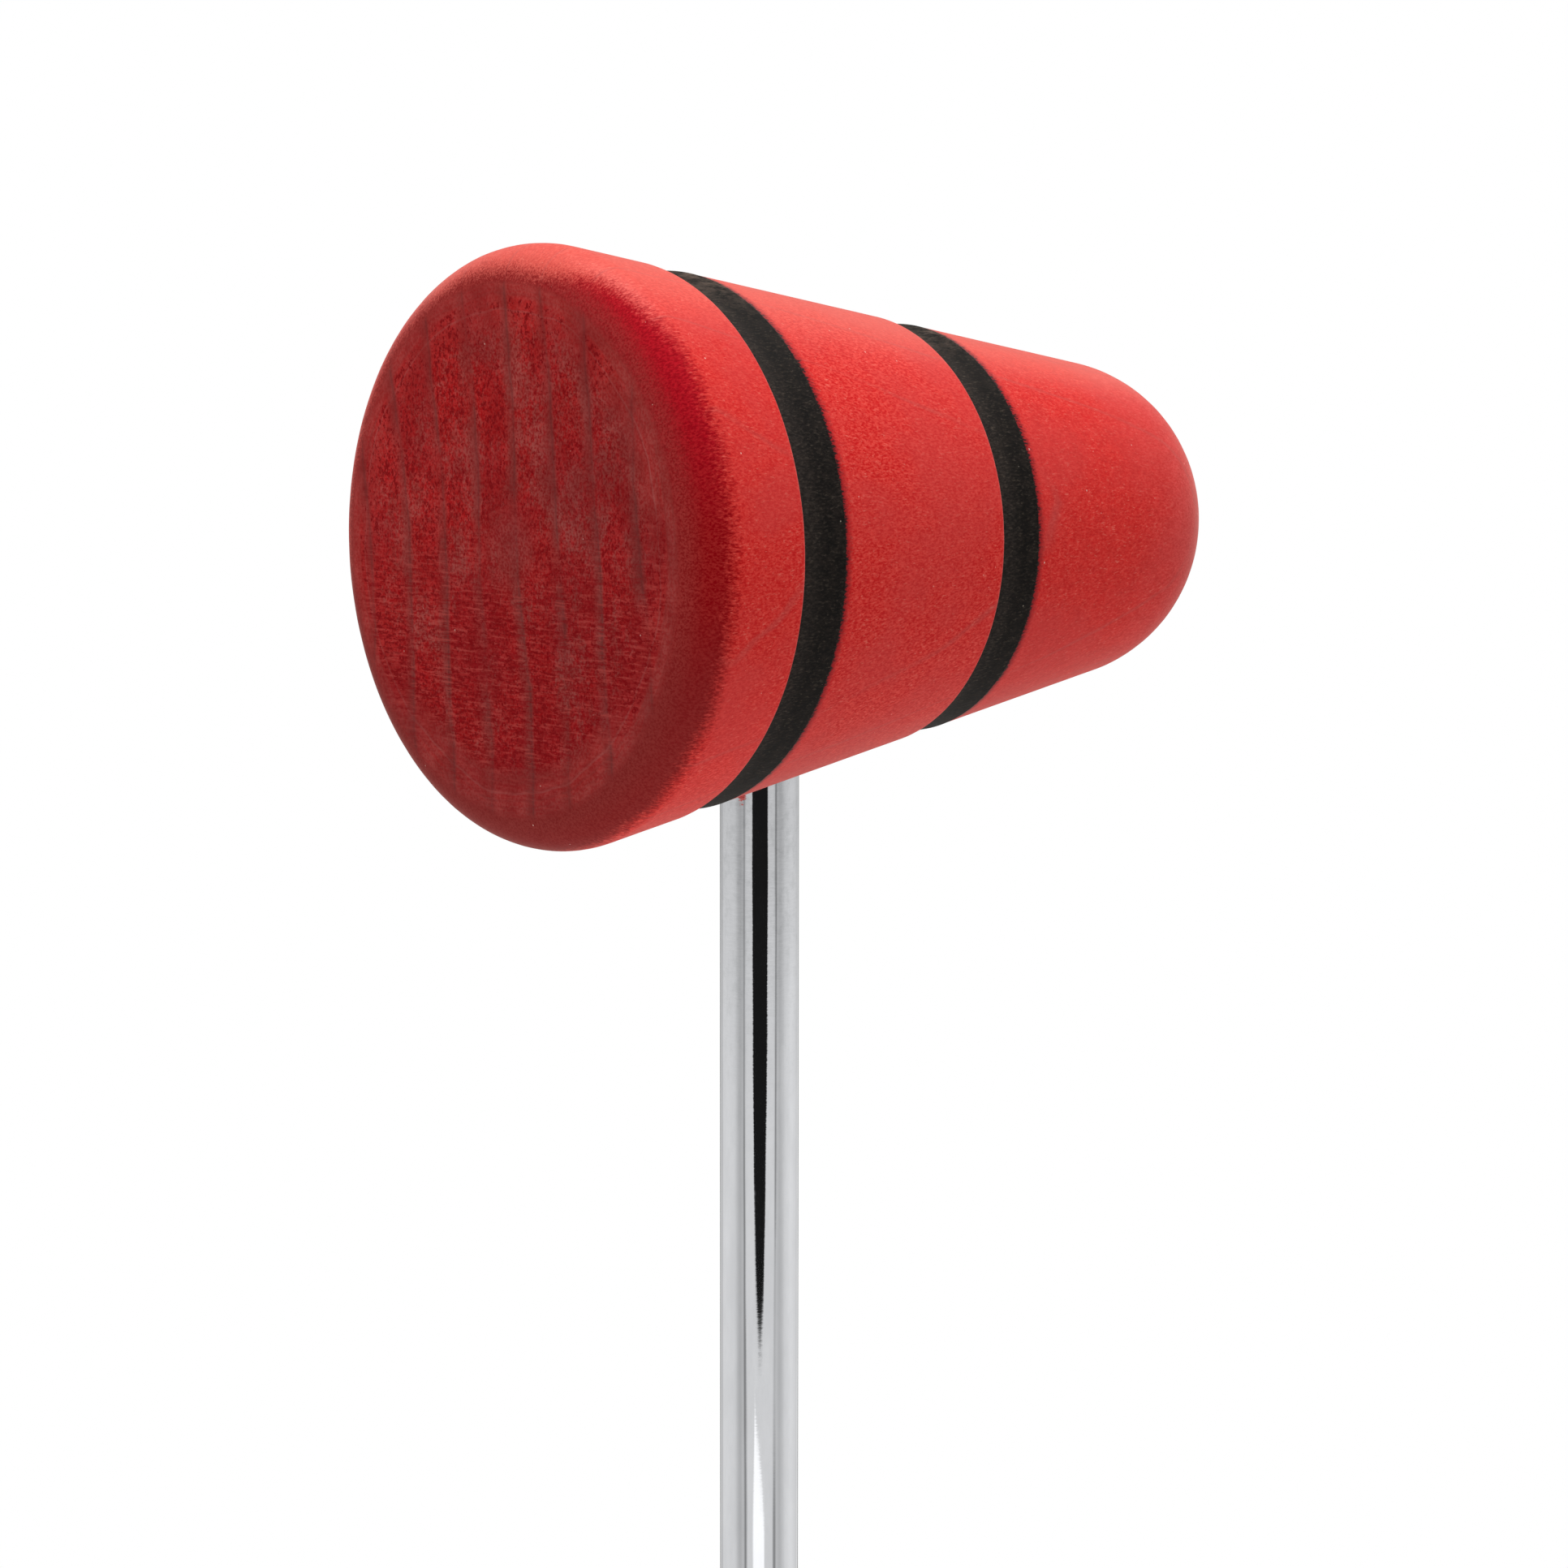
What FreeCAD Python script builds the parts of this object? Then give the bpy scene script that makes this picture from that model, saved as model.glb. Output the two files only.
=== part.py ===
import FreeCAD, Part
import os
import Sketcher

# A wooden bass drum beater: a turned maple head with two painted grooves, glued on a chromed steel rod.
# Millimetres and degrees. The origin is the centre of the rod's lower end, and +Z runs up the rod.
# The head's axis lies along Y, and its flat striking face looks towards -Y.

doc = FreeCAD.newDocument("bass_drum_beater")
sheet = doc.addObject("Spreadsheet::Sheet", "sizes")

# Driving sizes: name, value, and what it measures.
DRIVING_SIZES = [
    ("face_reach", "31.5", "rod's axis forward to the striking face"),
    ("tail_reach", "54.5", "rod's axis back to the tail"),
    ("girth_radius", "24.3", "radius of the cone at the rod's axis"),
    ("taper_angle", "10.68", "slope of the cone's side against the head's axis, in degrees"),
    ("face_rounding", "4.5", "rounding between the face and the side"),
    ("tail_spot_radius", "0.8", "what the tail's rounding leaves flat"),
    ("front_band_ahead", "17.5", "rod's axis forward to the front band's lip"),
    ("front_band_width", "5.9", "front band along the head's axis"),
    ("rear_band_behind", "13.2", "rod's axis back to the rear band's lip"),
    ("rear_band_width", "5.5", "rear band along the head's axis"),
    ("lip_rounding", "0.3", "sanded edge of a groove's front lip"),
    ("paint_film", "0.1", "thickness of the black paint"),
    ("rod_radius", "3.97", "rod of 5/16 inch"),
    ("rod_length", "203.2", "whole rod, 8 inches"),
    ("rod_chamfer", "0.8", "chamfer at the rod's lower end"),
    ("rod_past_axis", "5.7", "how far the rod's upper end passes the head's axis"),
    ("shoulder_depth", "1.2", "cone's underside, on the rod's axis, up to the rod's shoulder"),
    ("tenon_step", "0.42", "how much the rod's end is turned down, so that glue holds"),
    ("tenon_chamfer", "0.6", "chamfer at its tip"),
    ("glue_gap", "0.2", "glue between the turned end and the drilled hole"),
    ("glue_pocket", "1.3", "room for glue beyond the turned end's tip"),
    ("glue_groove_width", "1.2", "ring grooves in the turned end that key the glue"),
    ("glue_groove_depth", "0.4", "depth of those grooves"),
    ("glue_groove_count", "5", "how many there are"),
    ("glue_groove_margin", "3.5", "plain stretch before the first groove and after the last"),
    ("drill_point_angle", "118", "point of the drill that made the hole, in degrees"),
    ("mouth_relief", "0.85", "width of the recess round the rod at the hole's mouth"),
    ("mouth_overrun", "1", "how far the drilling starts outside the head"),
]
for row, (alias, value, meaning) in enumerate(DRIVING_SIZES, start=1):
    sheet.set(f"A{row}", meaning)
    sheet.set(f"B{row}", value)
    sheet.setAlias(f"B{row}", alias)
doc.recompute()

# Lengths that follow from the driving sizes. The cone's radius is taken at the places that need it.
FACE_RADIUS = "(sizes.girth_radius + sizes.face_reach * tan(sizes.taper_angle))"
TAIL_RADIUS = "(sizes.girth_radius - sizes.tail_reach * tan(sizes.taper_angle))"
TAIL_ROUNDING = (
    f"(({TAIL_RADIUS} - sizes.tail_spot_radius)"
    " * cos(sizes.taper_angle) / (1 - sin(sizes.taper_angle)))"
)
HEAD_HEIGHT = "(sizes.rod_length - sizes.rod_past_axis)"
SHOULDER_HEIGHT = f"({HEAD_HEIGHT} - sizes.girth_radius + sizes.shoulder_depth)"
TENON_LENGTH = f"(sizes.rod_length - {SHOULDER_HEIGHT})"
TENON_RADIUS = "(sizes.rod_radius - sizes.tenon_step)"
BORE_RADIUS = f"({TENON_RADIUS} + sizes.glue_gap)"
BORE_LENGTH = f"({TENON_LENGTH} + sizes.glue_pocket)"
MOUTH_RADIUS = "(sizes.rod_radius + sizes.mouth_relief)"
DRILLING_START = f"(sizes.girth_radius + {MOUTH_RADIUS} * tan(sizes.taper_angle) + sizes.mouth_overrun)"
RECESS_DRILLING = f"({DRILLING_START} - sizes.girth_radius + sizes.shoulder_depth)"

# Two places nearer than this are one place.
SAME_PLACE = 0.000001


def number(expression):
    """What an expression on the sheet comes to."""
    return float(sheet.evalExpression(expression))


def datum(body, role):
    """The origin plane or axis of a body that has this role."""
    return next(item for item in body.Origin.OriginFeatures if item.Role == role)


def hold_corner(sketch, kind, line, expression):
    """Ties one coordinate of a line's first end to an expression."""
    value = number(expression)
    if value == 0:
        own_axis = -2 if kind == "DistanceX" else -1
        sketch.addConstraint(Sketcher.Constraint("PointOnObject", line, 1, own_axis))
    elif value > 0:
        index = sketch.addConstraint(Sketcher.Constraint(kind, -1, 1, line, 1, value))
        sketch.setExpression(f"Constraints[{index}]", expression)
    else:
        index = sketch.addConstraint(Sketcher.Constraint(kind, line, 1, -1, 1, -value))
        sketch.setExpression(f"Constraints[{index}]", f"-({expression})")


def add_sketch(body, name, plane):
    """An empty sketch on one of the body's own origin planes."""
    sketch = body.newObject("Sketcher::SketchObject", name)
    sketch.AttachmentSupport = [(datum(body, plane), "")]
    sketch.MapMode = "FlatFace"
    return sketch


def add_outline(sketch, corners):
    """A closed outline of straight lines, each corner held by its two expressions."""
    points = [FreeCAD.Vector(number(across), number(along), 0) for across, along in corners]
    first_line = sketch.GeometryCount
    for start, end in zip(points, points[1:] + points[:1]):
        sketch.addGeometry(Part.LineSegment(start, end), False)
    lines = range(first_line, first_line + len(points))
    for line in lines:
        following = line + 1 if line + 1 in lines else first_line
        sketch.addConstraint(Sketcher.Constraint("Coincident", line, 2, following, 1))
    for line, (across, along) in zip(lines, corners):
        hold_corner(sketch, "DistanceX", line, across)
        hold_corner(sketch, "DistanceY", line, along)


def turn(body, kind, name, sketch, axis):
    """A full turn of a sketch about one of its own axes: a Revolution adds, a Groove cuts."""
    feature = body.newObject(f"PartDesign::{kind}", name)
    feature.Profile = sketch
    feature.ReferenceAxis = (sketch, [axis])
    feature.Angle = 360
    sketch.Visibility = False
    doc.recompute()
    return feature


def ring_edge(feature, centre, radius):
    """The name of the full circle of this radius round this centre, on a turned feature."""
    for index, edge in enumerate(feature.Shape.Edges, start=1):
        if not isinstance(edge.Curve, Part.Circle):
            continue
        same_centre = edge.Curve.Center.isEqual(centre, SAME_PLACE)
        if same_centre and abs(edge.Curve.Radius - radius) < SAME_PLACE:
            return f"Edge{index}"
    raise RuntimeError(f"{feature.Label} has no ring of radius {radius} at {centre}")


def dress_ring(body, kind, name, base, edge, size_name, expression):
    """A Fillet or Chamfer on one ring of the body, with its size tied to an expression."""
    feature = body.newObject(f"PartDesign::{kind}", name)
    feature.Base = (base, [edge])
    feature.setExpression(size_name, expression)
    doc.recompute()
    return feature


def cone_radius(place):
    """The expression for the cone's radius at a place along the head's axis."""
    return f"(sizes.girth_radius - ({place}) * tan(sizes.taper_angle))"


# Each band's lip and far edge along the head's axis, from the rod's axis.
BANDS = {
    "front_band": ("(-sizes.front_band_ahead)", "(sizes.front_band_width - sizes.front_band_ahead)"),
    "rear_band": ("sizes.rear_band_behind", "(sizes.rear_band_behind + sizes.rear_band_width)"),
}

# The head: a turned cone with a flat face and a rounded tail. A square tool, sunk until its whole width
# cuts, leaves each groove with a high front lip and a far edge only a coat of paint deep.
head = doc.addObject("PartDesign::Body", "head")
head.setExpression("Placement.Base.z", HEAD_HEIGHT)
cone_sketch = add_sketch(head, "cone_outline", "YZ_Plane")
add_outline(
    cone_sketch,
    [
        ("-sizes.face_reach", "0"),
        ("sizes.tail_reach", "0"),
        ("sizes.tail_reach", TAIL_RADIUS),
        ("-sizes.face_reach", FACE_RADIUS),
    ],
)
cone = turn(head, "Revolution", "cone", cone_sketch, "H_Axis")
face_centre = FreeCAD.Vector(0, -number("sizes.face_reach"), 0)
face_edge = ring_edge(cone, face_centre, number(FACE_RADIUS))
rounded_face = dress_ring(head, "Fillet", "rounded_face", cone, face_edge, "Radius", "sizes.face_rounding")
tail_centre = FreeCAD.Vector(0, number("sizes.tail_reach"), 0)
tail_edge = ring_edge(rounded_face, tail_centre, number(TAIL_RADIUS))
turned = dress_ring(head, "Fillet", "rounded_tail", rounded_face, tail_edge, "Radius", TAIL_ROUNDING)
for band, (lip, far_edge) in BANDS.items():
    groove_sketch = add_sketch(head, f"{band}_groove_outline", "YZ_Plane")
    groove_floor = f"({cone_radius(far_edge)} - sizes.paint_film)"
    add_outline(
        groove_sketch,
        [(lip, groove_floor), (far_edge, groove_floor), (far_edge, FACE_RADIUS), (lip, FACE_RADIUS)],
    )
    groove = turn(head, "Groove", f"{band}_groove", groove_sketch, "H_Axis")
    lip_centre = FreeCAD.Vector(0, number(lip), 0)
    lip_edge = ring_edge(groove, lip_centre, number(cone_radius(lip)))
    turned = dress_ring(head, "Fillet", f"{band}_lip", groove, lip_edge, "Radius", "sizes.lip_rounding")

# The blind hole for the rod's turned end, drilled square to the head's axis. The rod's shoulder seats on
# the floor of a shallow recess at the hole's mouth.
drilling_sketch = add_sketch(head, "drilling_centre", "XY_Plane")
drilling_sketch.setExpression("AttachmentOffset.Base.z", f"-{DRILLING_START}")
drill_circle = Part.Circle(FreeCAD.Vector(0, 0, 0), FreeCAD.Vector(0, 0, 1), number(BORE_RADIUS))
drilling_sketch.addGeometry(drill_circle)
drilling_sketch.addConstraint(Sketcher.Constraint("Coincident", 0, 3, -1, 1))
radius_index = drilling_sketch.addConstraint(Sketcher.Constraint("Radius", 0, number(BORE_RADIUS)))
drilling_sketch.setExpression(f"Constraints[{radius_index}]", BORE_RADIUS)
doc.recompute()
volume_before_drilling = turned.Shape.Volume
drilling = head.newObject("PartDesign::Hole", "rod_hole")
drilling.Profile = drilling_sketch
drilling.Reversed = True
drilling.DepthType = "Dimension"
drilling.DrillPoint = "Angled"
drilling.HoleCutType = "Counterbore"
drilling.setExpression("Diameter", f"2 * {BORE_RADIUS}")
drilling.setExpression("Depth", f"{RECESS_DRILLING} + {BORE_LENGTH}")
drilling.setExpression("DrillPointAngle", "sizes.drill_point_angle")
drilling.setExpression("HoleCutDiameter", f"2 * {MOUTH_RADIUS}")
drilling.setExpression("HoleCutDepth", RECESS_DRILLING)
drilling_sketch.Visibility = False
doc.recompute()

# The rod: chromed steel, chamfered below. Its upper end is turned down and ringed where glue holds it.
shaft = doc.addObject("PartDesign::Body", "shaft")
rod_sketch = add_sketch(shaft, "rod_outline", "XZ_Plane")
add_outline(
    rod_sketch,
    [
        ("0", "0"),
        ("sizes.rod_radius", "0"),
        ("sizes.rod_radius", SHOULDER_HEIGHT),
        (TENON_RADIUS, SHOULDER_HEIGHT),
        (TENON_RADIUS, "sizes.rod_length"),
        ("0", "sizes.rod_length"),
    ],
)
rod = turn(shaft, "Revolution", "rod", rod_sketch, "V_Axis")
rod_foot = ring_edge(rod, FreeCAD.Vector(0, 0, 0), number("sizes.rod_radius"))
foot = dress_ring(shaft, "Chamfer", "rod_foot", rod, rod_foot, "Size", "sizes.rod_chamfer")
tip_centre = FreeCAD.Vector(0, 0, number("sizes.rod_length"))
tip_edge = ring_edge(foot, tip_centre, number(TENON_RADIUS))
dress_ring(shaft, "Chamfer", "tenon_tip", foot, tip_edge, "Size", "sizes.tenon_chamfer")
key_sketch = add_sketch(shaft, "glue_groove_outline", "XZ_Plane")
key_floor = f"({TENON_RADIUS} - sizes.glue_groove_depth)"
key_low = f"({SHOULDER_HEIGHT} + sizes.glue_groove_margin)"
key_high = f"({key_low} + sizes.glue_groove_width)"
key_stretch = f"({TENON_LENGTH} - 2 * sizes.glue_groove_margin - sizes.glue_groove_width)"
add_outline(
    key_sketch,
    [
        (key_floor, key_low),
        ("sizes.rod_radius", key_low),
        ("sizes.rod_radius", key_high),
        (key_floor, key_high),
    ],
)
glue_groove = turn(shaft, "Groove", "glue_groove", key_sketch, "V_Axis")
glue_grooves = shaft.newObject("PartDesign::LinearPattern", "glue_grooves")
glue_grooves.Originals = [glue_groove]
glue_grooves.Direction = (key_sketch, ["V_Axis"])
glue_grooves.setExpression("Length", key_stretch)
glue_grooves.setExpression("Occurrences", "sizes.glue_groove_count")
shaft.Tip = glue_grooves
doc.recompute()

# The bed of hard glue: the drilled hole above the recess, less the rod's end that stands in it.
hole_space = doc.addObject("Part::Cylinder", "hole_space")
hole_space.setExpression("Radius", BORE_RADIUS)
hole_space.setExpression("Height", BORE_LENGTH)
hole_space.setExpression("Placement.Base.z", SHOULDER_HEIGHT)
glue_bed = doc.addObject("Part::Cut", "glue_bed")
glue_bed.Base = hole_space
glue_bed.Tool = shaft


def paint_band(name, lip, far_edge):
    """The coat of black paint on a groove's floor and front wall, level with the cone at its far edge."""
    band = doc.addObject("PartDesign::Body", name)
    band.setExpression("Placement.Base.z", HEAD_HEIGHT)
    sketch = add_sketch(band, f"{name}_outline", "YZ_Plane")
    coat_top = cone_radius(far_edge)
    coat_floor = f"({coat_top} - sizes.paint_film)"
    coat_inside = f"({lip} + sizes.paint_film)"
    wall_top = f"({cone_radius(lip)} - sizes.lip_rounding)"
    add_outline(
        sketch,
        [
            (lip, coat_floor),
            (far_edge, coat_floor),
            (far_edge, coat_top),
            (coat_inside, coat_top),
            (coat_inside, wall_top),
            (lip, wall_top),
        ],
    )
    turn(band, "Revolution", f"{name}_coat", sketch, "H_Axis")
    return band


bands = [paint_band(name, lip, far_edge) for name, (lip, far_edge) in BANDS.items()]
doc.recompute()

# Nothing may have failed, and each cut must have taken material away.
pieces = [head, *bands, shaft, glue_bed]
for item in doc.Objects:
    if "Invalid" in item.State or "Error" in item.State:
        raise RuntimeError(f"{item.Name} failed: {item.State}")
if not head.Shape.Volume < volume_before_drilling:
    raise RuntimeError("the rod's hole cut nothing")
if not glue_grooves.Shape.Volume < glue_groove.Shape.Volume:
    raise RuntimeError("the glue grooves were not repeated")
os.makedirs("parts", exist_ok=True)
for piece in pieces:
    shape = piece.Shape
    if shape.isNull() or not shape.isValid() or len(shape.Solids) != 1:
        raise RuntimeError(f"{piece.Label} is not one valid solid")
    print(piece.Label, round(shape.Volume, 1), "mm3", shape.BoundBox)
for piece in pieces:
    piece.Shape.exportStep(f"parts/{piece.Label}.step")
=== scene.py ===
import math
import bpy
from mathutils import Matrix, Vector


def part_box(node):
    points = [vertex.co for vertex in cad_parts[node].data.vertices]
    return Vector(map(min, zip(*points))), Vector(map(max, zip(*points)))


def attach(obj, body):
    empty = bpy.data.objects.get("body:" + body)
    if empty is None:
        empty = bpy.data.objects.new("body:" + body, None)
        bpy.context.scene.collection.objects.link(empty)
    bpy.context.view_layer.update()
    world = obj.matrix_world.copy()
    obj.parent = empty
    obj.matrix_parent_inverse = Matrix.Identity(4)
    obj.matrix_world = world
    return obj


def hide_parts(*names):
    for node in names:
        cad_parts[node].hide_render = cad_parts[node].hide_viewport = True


# A wooden bass drum beater in metres, +Z up the rod. The head's axis lies along Y, with its striking
# face towards -Y.
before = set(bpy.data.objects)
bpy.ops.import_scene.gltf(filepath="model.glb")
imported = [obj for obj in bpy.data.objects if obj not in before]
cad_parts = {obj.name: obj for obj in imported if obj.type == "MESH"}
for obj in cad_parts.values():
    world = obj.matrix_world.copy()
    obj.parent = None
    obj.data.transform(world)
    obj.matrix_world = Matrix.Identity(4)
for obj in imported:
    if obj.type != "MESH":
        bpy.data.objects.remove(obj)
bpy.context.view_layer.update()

# The rod: drawn steel of 5/16 inch, ground round and plated with bright chrome. Its lower end is
# chamfered for the pedal's hub. Its upper end is turned down and ringed, where glue holds it.
rod_low, rod_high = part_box("shaft")
glue_low, glue_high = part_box("glue_bed")
ROD_CHAMFER = 0.0008
GLUE_GAP = 0.0002
TIP_CHAMFER = 0.0006
GLUE_RINGS = 5
GLUE_RING_WIDTH = 0.0012
GLUE_RING_DEPTH = 0.0004
GLUE_RING_MARGIN = 0.0035
EDGE_ROUNDING = 0.0001
ROD_STEPS = 192
ROD_STEP_ALONG = 0.002
HANDLED_FROM = 0.125
HANDLED_TO = 0.174
PLATE_WAVE_HEIGHT = 0.000016
MM = 1000


def add(tree, kind, inputs=None, **settings):
    """A node of this kind, with its settings made and its inputs set or joined."""
    node = tree.nodes.new(kind)
    for name, value in settings.items():
        setattr(node, name, value)
    for name, value in (inputs or {}).items():
        if isinstance(value, bpy.types.NodeSocket):
            tree.links.new(value, node.inputs[name])
        else:
            node.inputs[name].default_value = value
    return node


def reckon(tree, operation, *values, clamp=False):
    """What a sum, product or other operation comes to, as a socket."""
    inputs = dict(enumerate(values))
    return add(tree, "ShaderNodeMath", inputs, operation=operation, use_clamp=clamp).outputs[0]


def ease(tree, value, start, end, low=0.0, high=1.0):
    """A smooth change from low to high while the value goes from start to end."""
    inputs = {"Value": value, "From Min": start, "From Max": end, "To Min": low, "To Max": high}
    return add(tree, "ShaderNodeMapRange", inputs, interpolation_type="SMOOTHSTEP").outputs[0]


def noise(tree, place, stretch, detail=2.0, roughness=0.5, shift=0.0, curl=0.0):
    """Smooth noise from 0 to 1, with this many features to a millimetre along x, y and z."""
    inputs = {0: place, 1: stretch, 2: (shift, shift, shift)}
    scaled = add(tree, "ShaderNodeVectorMath", inputs, operation="MULTIPLY_ADD").outputs[0]
    inputs = {"Vector": scaled, "Scale": 1.0, "Detail": detail, "Roughness": roughness, "Distortion": curl}
    return add(tree, "ShaderNodeTexNoise", inputs).outputs[0]


def around(tree, value, size):
    """Noise of 0 to 1 turned into a push this large both ways."""
    return reckon(tree, "MULTIPLY", reckon(tree, "SUBTRACT", value, 0.5), size)


def blend(tree, amount, first, second):
    """Two colours mixed by an amount."""
    mix = add(tree, "ShaderNodeMix", data_type="RGBA")
    for index, value in ((0, amount), (6, first), (7, second)):
        if isinstance(value, bpy.types.NodeSocket):
            tree.links.new(value, mix.inputs[index])
        elif index:
            mix.inputs[index].default_value = (*value, 1.0)
        else:
            mix.inputs[index].default_value = value
    return mix.outputs[2]


def between(tree, amount, first, second):
    """Two values mixed by an amount."""
    return add(tree, "ShaderNodeMix", {0: amount, 2: first, 3: second}, data_type="FLOAT").outputs[0]


def scaled_by(tree, vector, factors):
    """A place or a colour with each of its three values times a factor."""
    return add(tree, "ShaderNodeVectorMath", {0: vector, 1: factors}, operation="MULTIPLY").outputs[0]


def material_and_tree(name):
    """A new material with an empty tree, but for its output."""
    material = bpy.data.materials.new(name)
    material.use_nodes = True
    material.node_tree.nodes.clear()
    add(material.node_tree, "ShaderNodeOutputMaterial")
    return material, material.node_tree


def finish_with(tree, shader):
    """Joins a shader to the material's output."""
    tree.links.new(shader.outputs[0], tree.nodes["Material Output"].inputs["Surface"])


def millimetres(tree, centre):
    """Places on the piece in millimetres, from this centre."""
    place = add(tree, "ShaderNodeTexCoord").outputs["Object"]
    inputs = {0: place, 1: centre}
    centred = add(tree, "ShaderNodeVectorMath", inputs, operation="SUBTRACT").outputs[0]
    scaled = add(tree, "ShaderNodeVectorMath", {0: centred, "Scale": MM}, operation="SCALE")
    return scaled.outputs[0]


def effect_group(name, inputs, outputs):
    """An empty group of shader nodes with named inputs and outputs."""
    group = bpy.data.node_groups.new(name, "ShaderNodeTree")
    for label, kind in inputs:
        group.interface.new_socket(label, in_out="INPUT", socket_type=kind)
    for label in outputs:
        group.interface.new_socket(label, in_out="OUTPUT", socket_type="NodeSocketFloat")
    return group, add(group, "NodeGroupInput").outputs, add(group, "NodeGroupOutput")


def dust_group():
    """Sparse specks of dust: round, of mixed sizes, and few to the square centimetre."""
    inputs = [("Place", "NodeSocketVector"), ("Spacing", "NodeSocketFloat"), ("Size", "NodeSocketFloat")]
    group, given, result = effect_group("dust", inputs, ["Specks"])
    spread = reckon(group, "DIVIDE", 1.0, given["Spacing"])
    cells = add(group, "ShaderNodeTexVoronoi", {"Vector": given["Place"], "Scale": spread})
    distance = reckon(group, "MULTIPLY", cells.outputs["Distance"], given["Spacing"])
    chance = add(group, "ShaderNodeSeparateXYZ", {0: cells.outputs["Color"]}).outputs
    size = reckon(group, "MULTIPLY", given["Size"], reckon(group, "POWER", chance[0], 3.0))
    speck = reckon(group, "LESS_THAN", distance, size)
    group.links.new(speck, result.inputs["Specks"])
    return group


dust = dust_group()


def specks_of_dust(tree, place, spacing, size):
    """The dust on a piece: how many millimetres it lies apart, and the largest speck's radius."""
    inputs = {"Place": place, "Spacing": spacing, "Size": size}
    return add(tree, "ShaderNodeGroup", inputs, node_tree=dust).outputs["Specks"]


def chrome():
    """Bright plate with faint polishing waves along the rod, thin smears and a little dust."""
    material, tree = material_and_tree("chromed_steel")
    place = millimetres(tree, (0, 0, 0))
    waves = noise(tree, place, (1.4, 1.4, 0.05), 2.0)
    ripples = noise(tree, place, (0.7, 0.7, 2.6), 3.0, 0.6, 9.0)
    smears = noise(tree, place, (0.5, 0.5, 0.12), 4.0, 0.65, 3.0)
    handled = noise(tree, place, (1.1, 1.1, 0.7), 4.0, 0.7, 14.0)
    speck = specks_of_dust(tree, place, 2.4, 0.07)
    height = add(tree, "ShaderNodeSeparateXYZ", {0: place}).outputs[2]
    bare_end = reckon(tree, "GREATER_THAN", height, glue_low.z * MM)
    near_head = ease(tree, height, HANDLED_FROM * MM, HANDLED_TO * MM, 0.12, 1.0)
    plated = blend(tree, ease(tree, smears, 0.3, 0.75), (0.665, 0.672, 0.690), (0.72, 0.727, 0.745))
    mottle = reckon(tree, "MULTIPLY", ease(tree, handled, 0.45, 0.70, 0.0, 0.50), near_head)
    mottled = blend(tree, mottle, plated, (0.52, 0.53, 0.54))
    with_end = blend(tree, bare_end, mottled, (0.42, 0.41, 0.39))
    colour = blend(tree, speck, with_end, (0.5, 0.5, 0.48))
    gloss = ease(tree, smears, 0.45, 0.85, 0.025, 0.075)
    roughness = reckon(tree, "MAXIMUM", gloss, reckon(tree, "MULTIPLY", bare_end, 0.45))
    ripple = reckon(tree, "MULTIPLY", ripples, reckon(tree, "MULTIPLY", near_head, 0.6))
    rippled = reckon(tree, "ADD", waves, ripple)
    bump = add(tree, "ShaderNodeBump", {"Height": rippled, "Distance": PLATE_WAVE_HEIGHT, "Strength": 0.5})
    shader = add(
        tree,
        "ShaderNodeBsdfPrincipled",
        {"Base Color": colour, "Metallic": 1.0, "Roughness": roughness, "Normal": bump.outputs[0]},
    )
    finish_with(tree, shader)
    return material


ARC_STEPS = 16
JOIN_DISTANCE = 0.000002


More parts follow.
